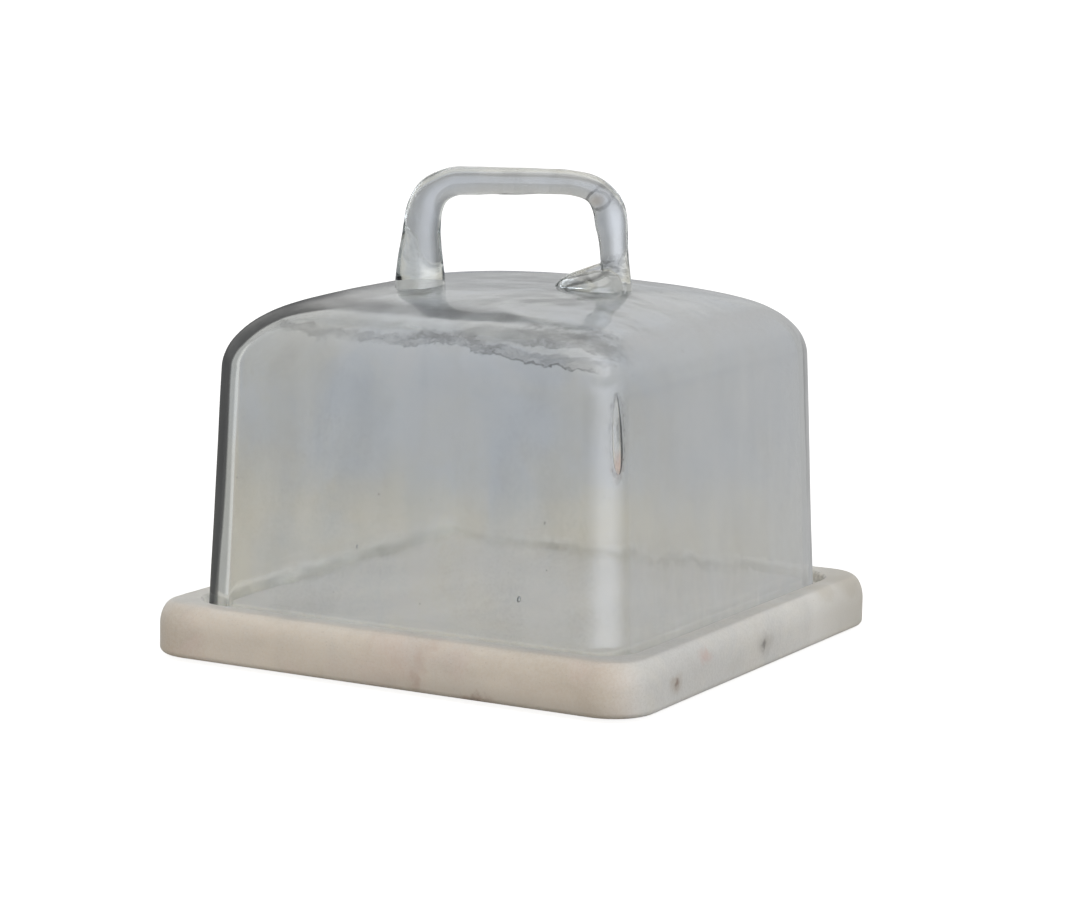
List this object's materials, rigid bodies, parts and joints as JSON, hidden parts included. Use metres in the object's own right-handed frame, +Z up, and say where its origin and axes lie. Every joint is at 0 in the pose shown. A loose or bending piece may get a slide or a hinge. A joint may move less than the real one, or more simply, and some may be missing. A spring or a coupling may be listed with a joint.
{
  "type": "cheese dome",
  "caption": "Square stone serving board with a routed channel and a thick lift-off glass cover with a drawn-glass bail handle.",
  "frame": {"origin": "centre of the board in plan, on the plane under its four pads", "axes": "+Z up; X and Y square to the board's sides; front is -Y"},
  "size_m": [0.2, 0.2, 0.1765],
  "materials": {
    "marble": "honed",
    "dome_glass": "gloss",
    "handle_glass": "gloss",
    "pad_rubber": "satin"
  },
  "bodies": {
    "board": {"marble_board": "marble", "foot_pad_front_left": "pad_rubber", "foot_pad_front_right": "pad_rubber", "foot_pad_back_left": "pad_rubber", "foot_pad_back_right": "pad_rubber"},
    "cover": {"glass_dome": "dome_glass", "glass_handle": "handle_glass"}
  },
  "joints": [
    {"name": "dome_lift", "type": "slide", "parent": "board", "child": "cover", "axis": [0, 0, 1], "range_m": [0, 0.15]}
  ]
}
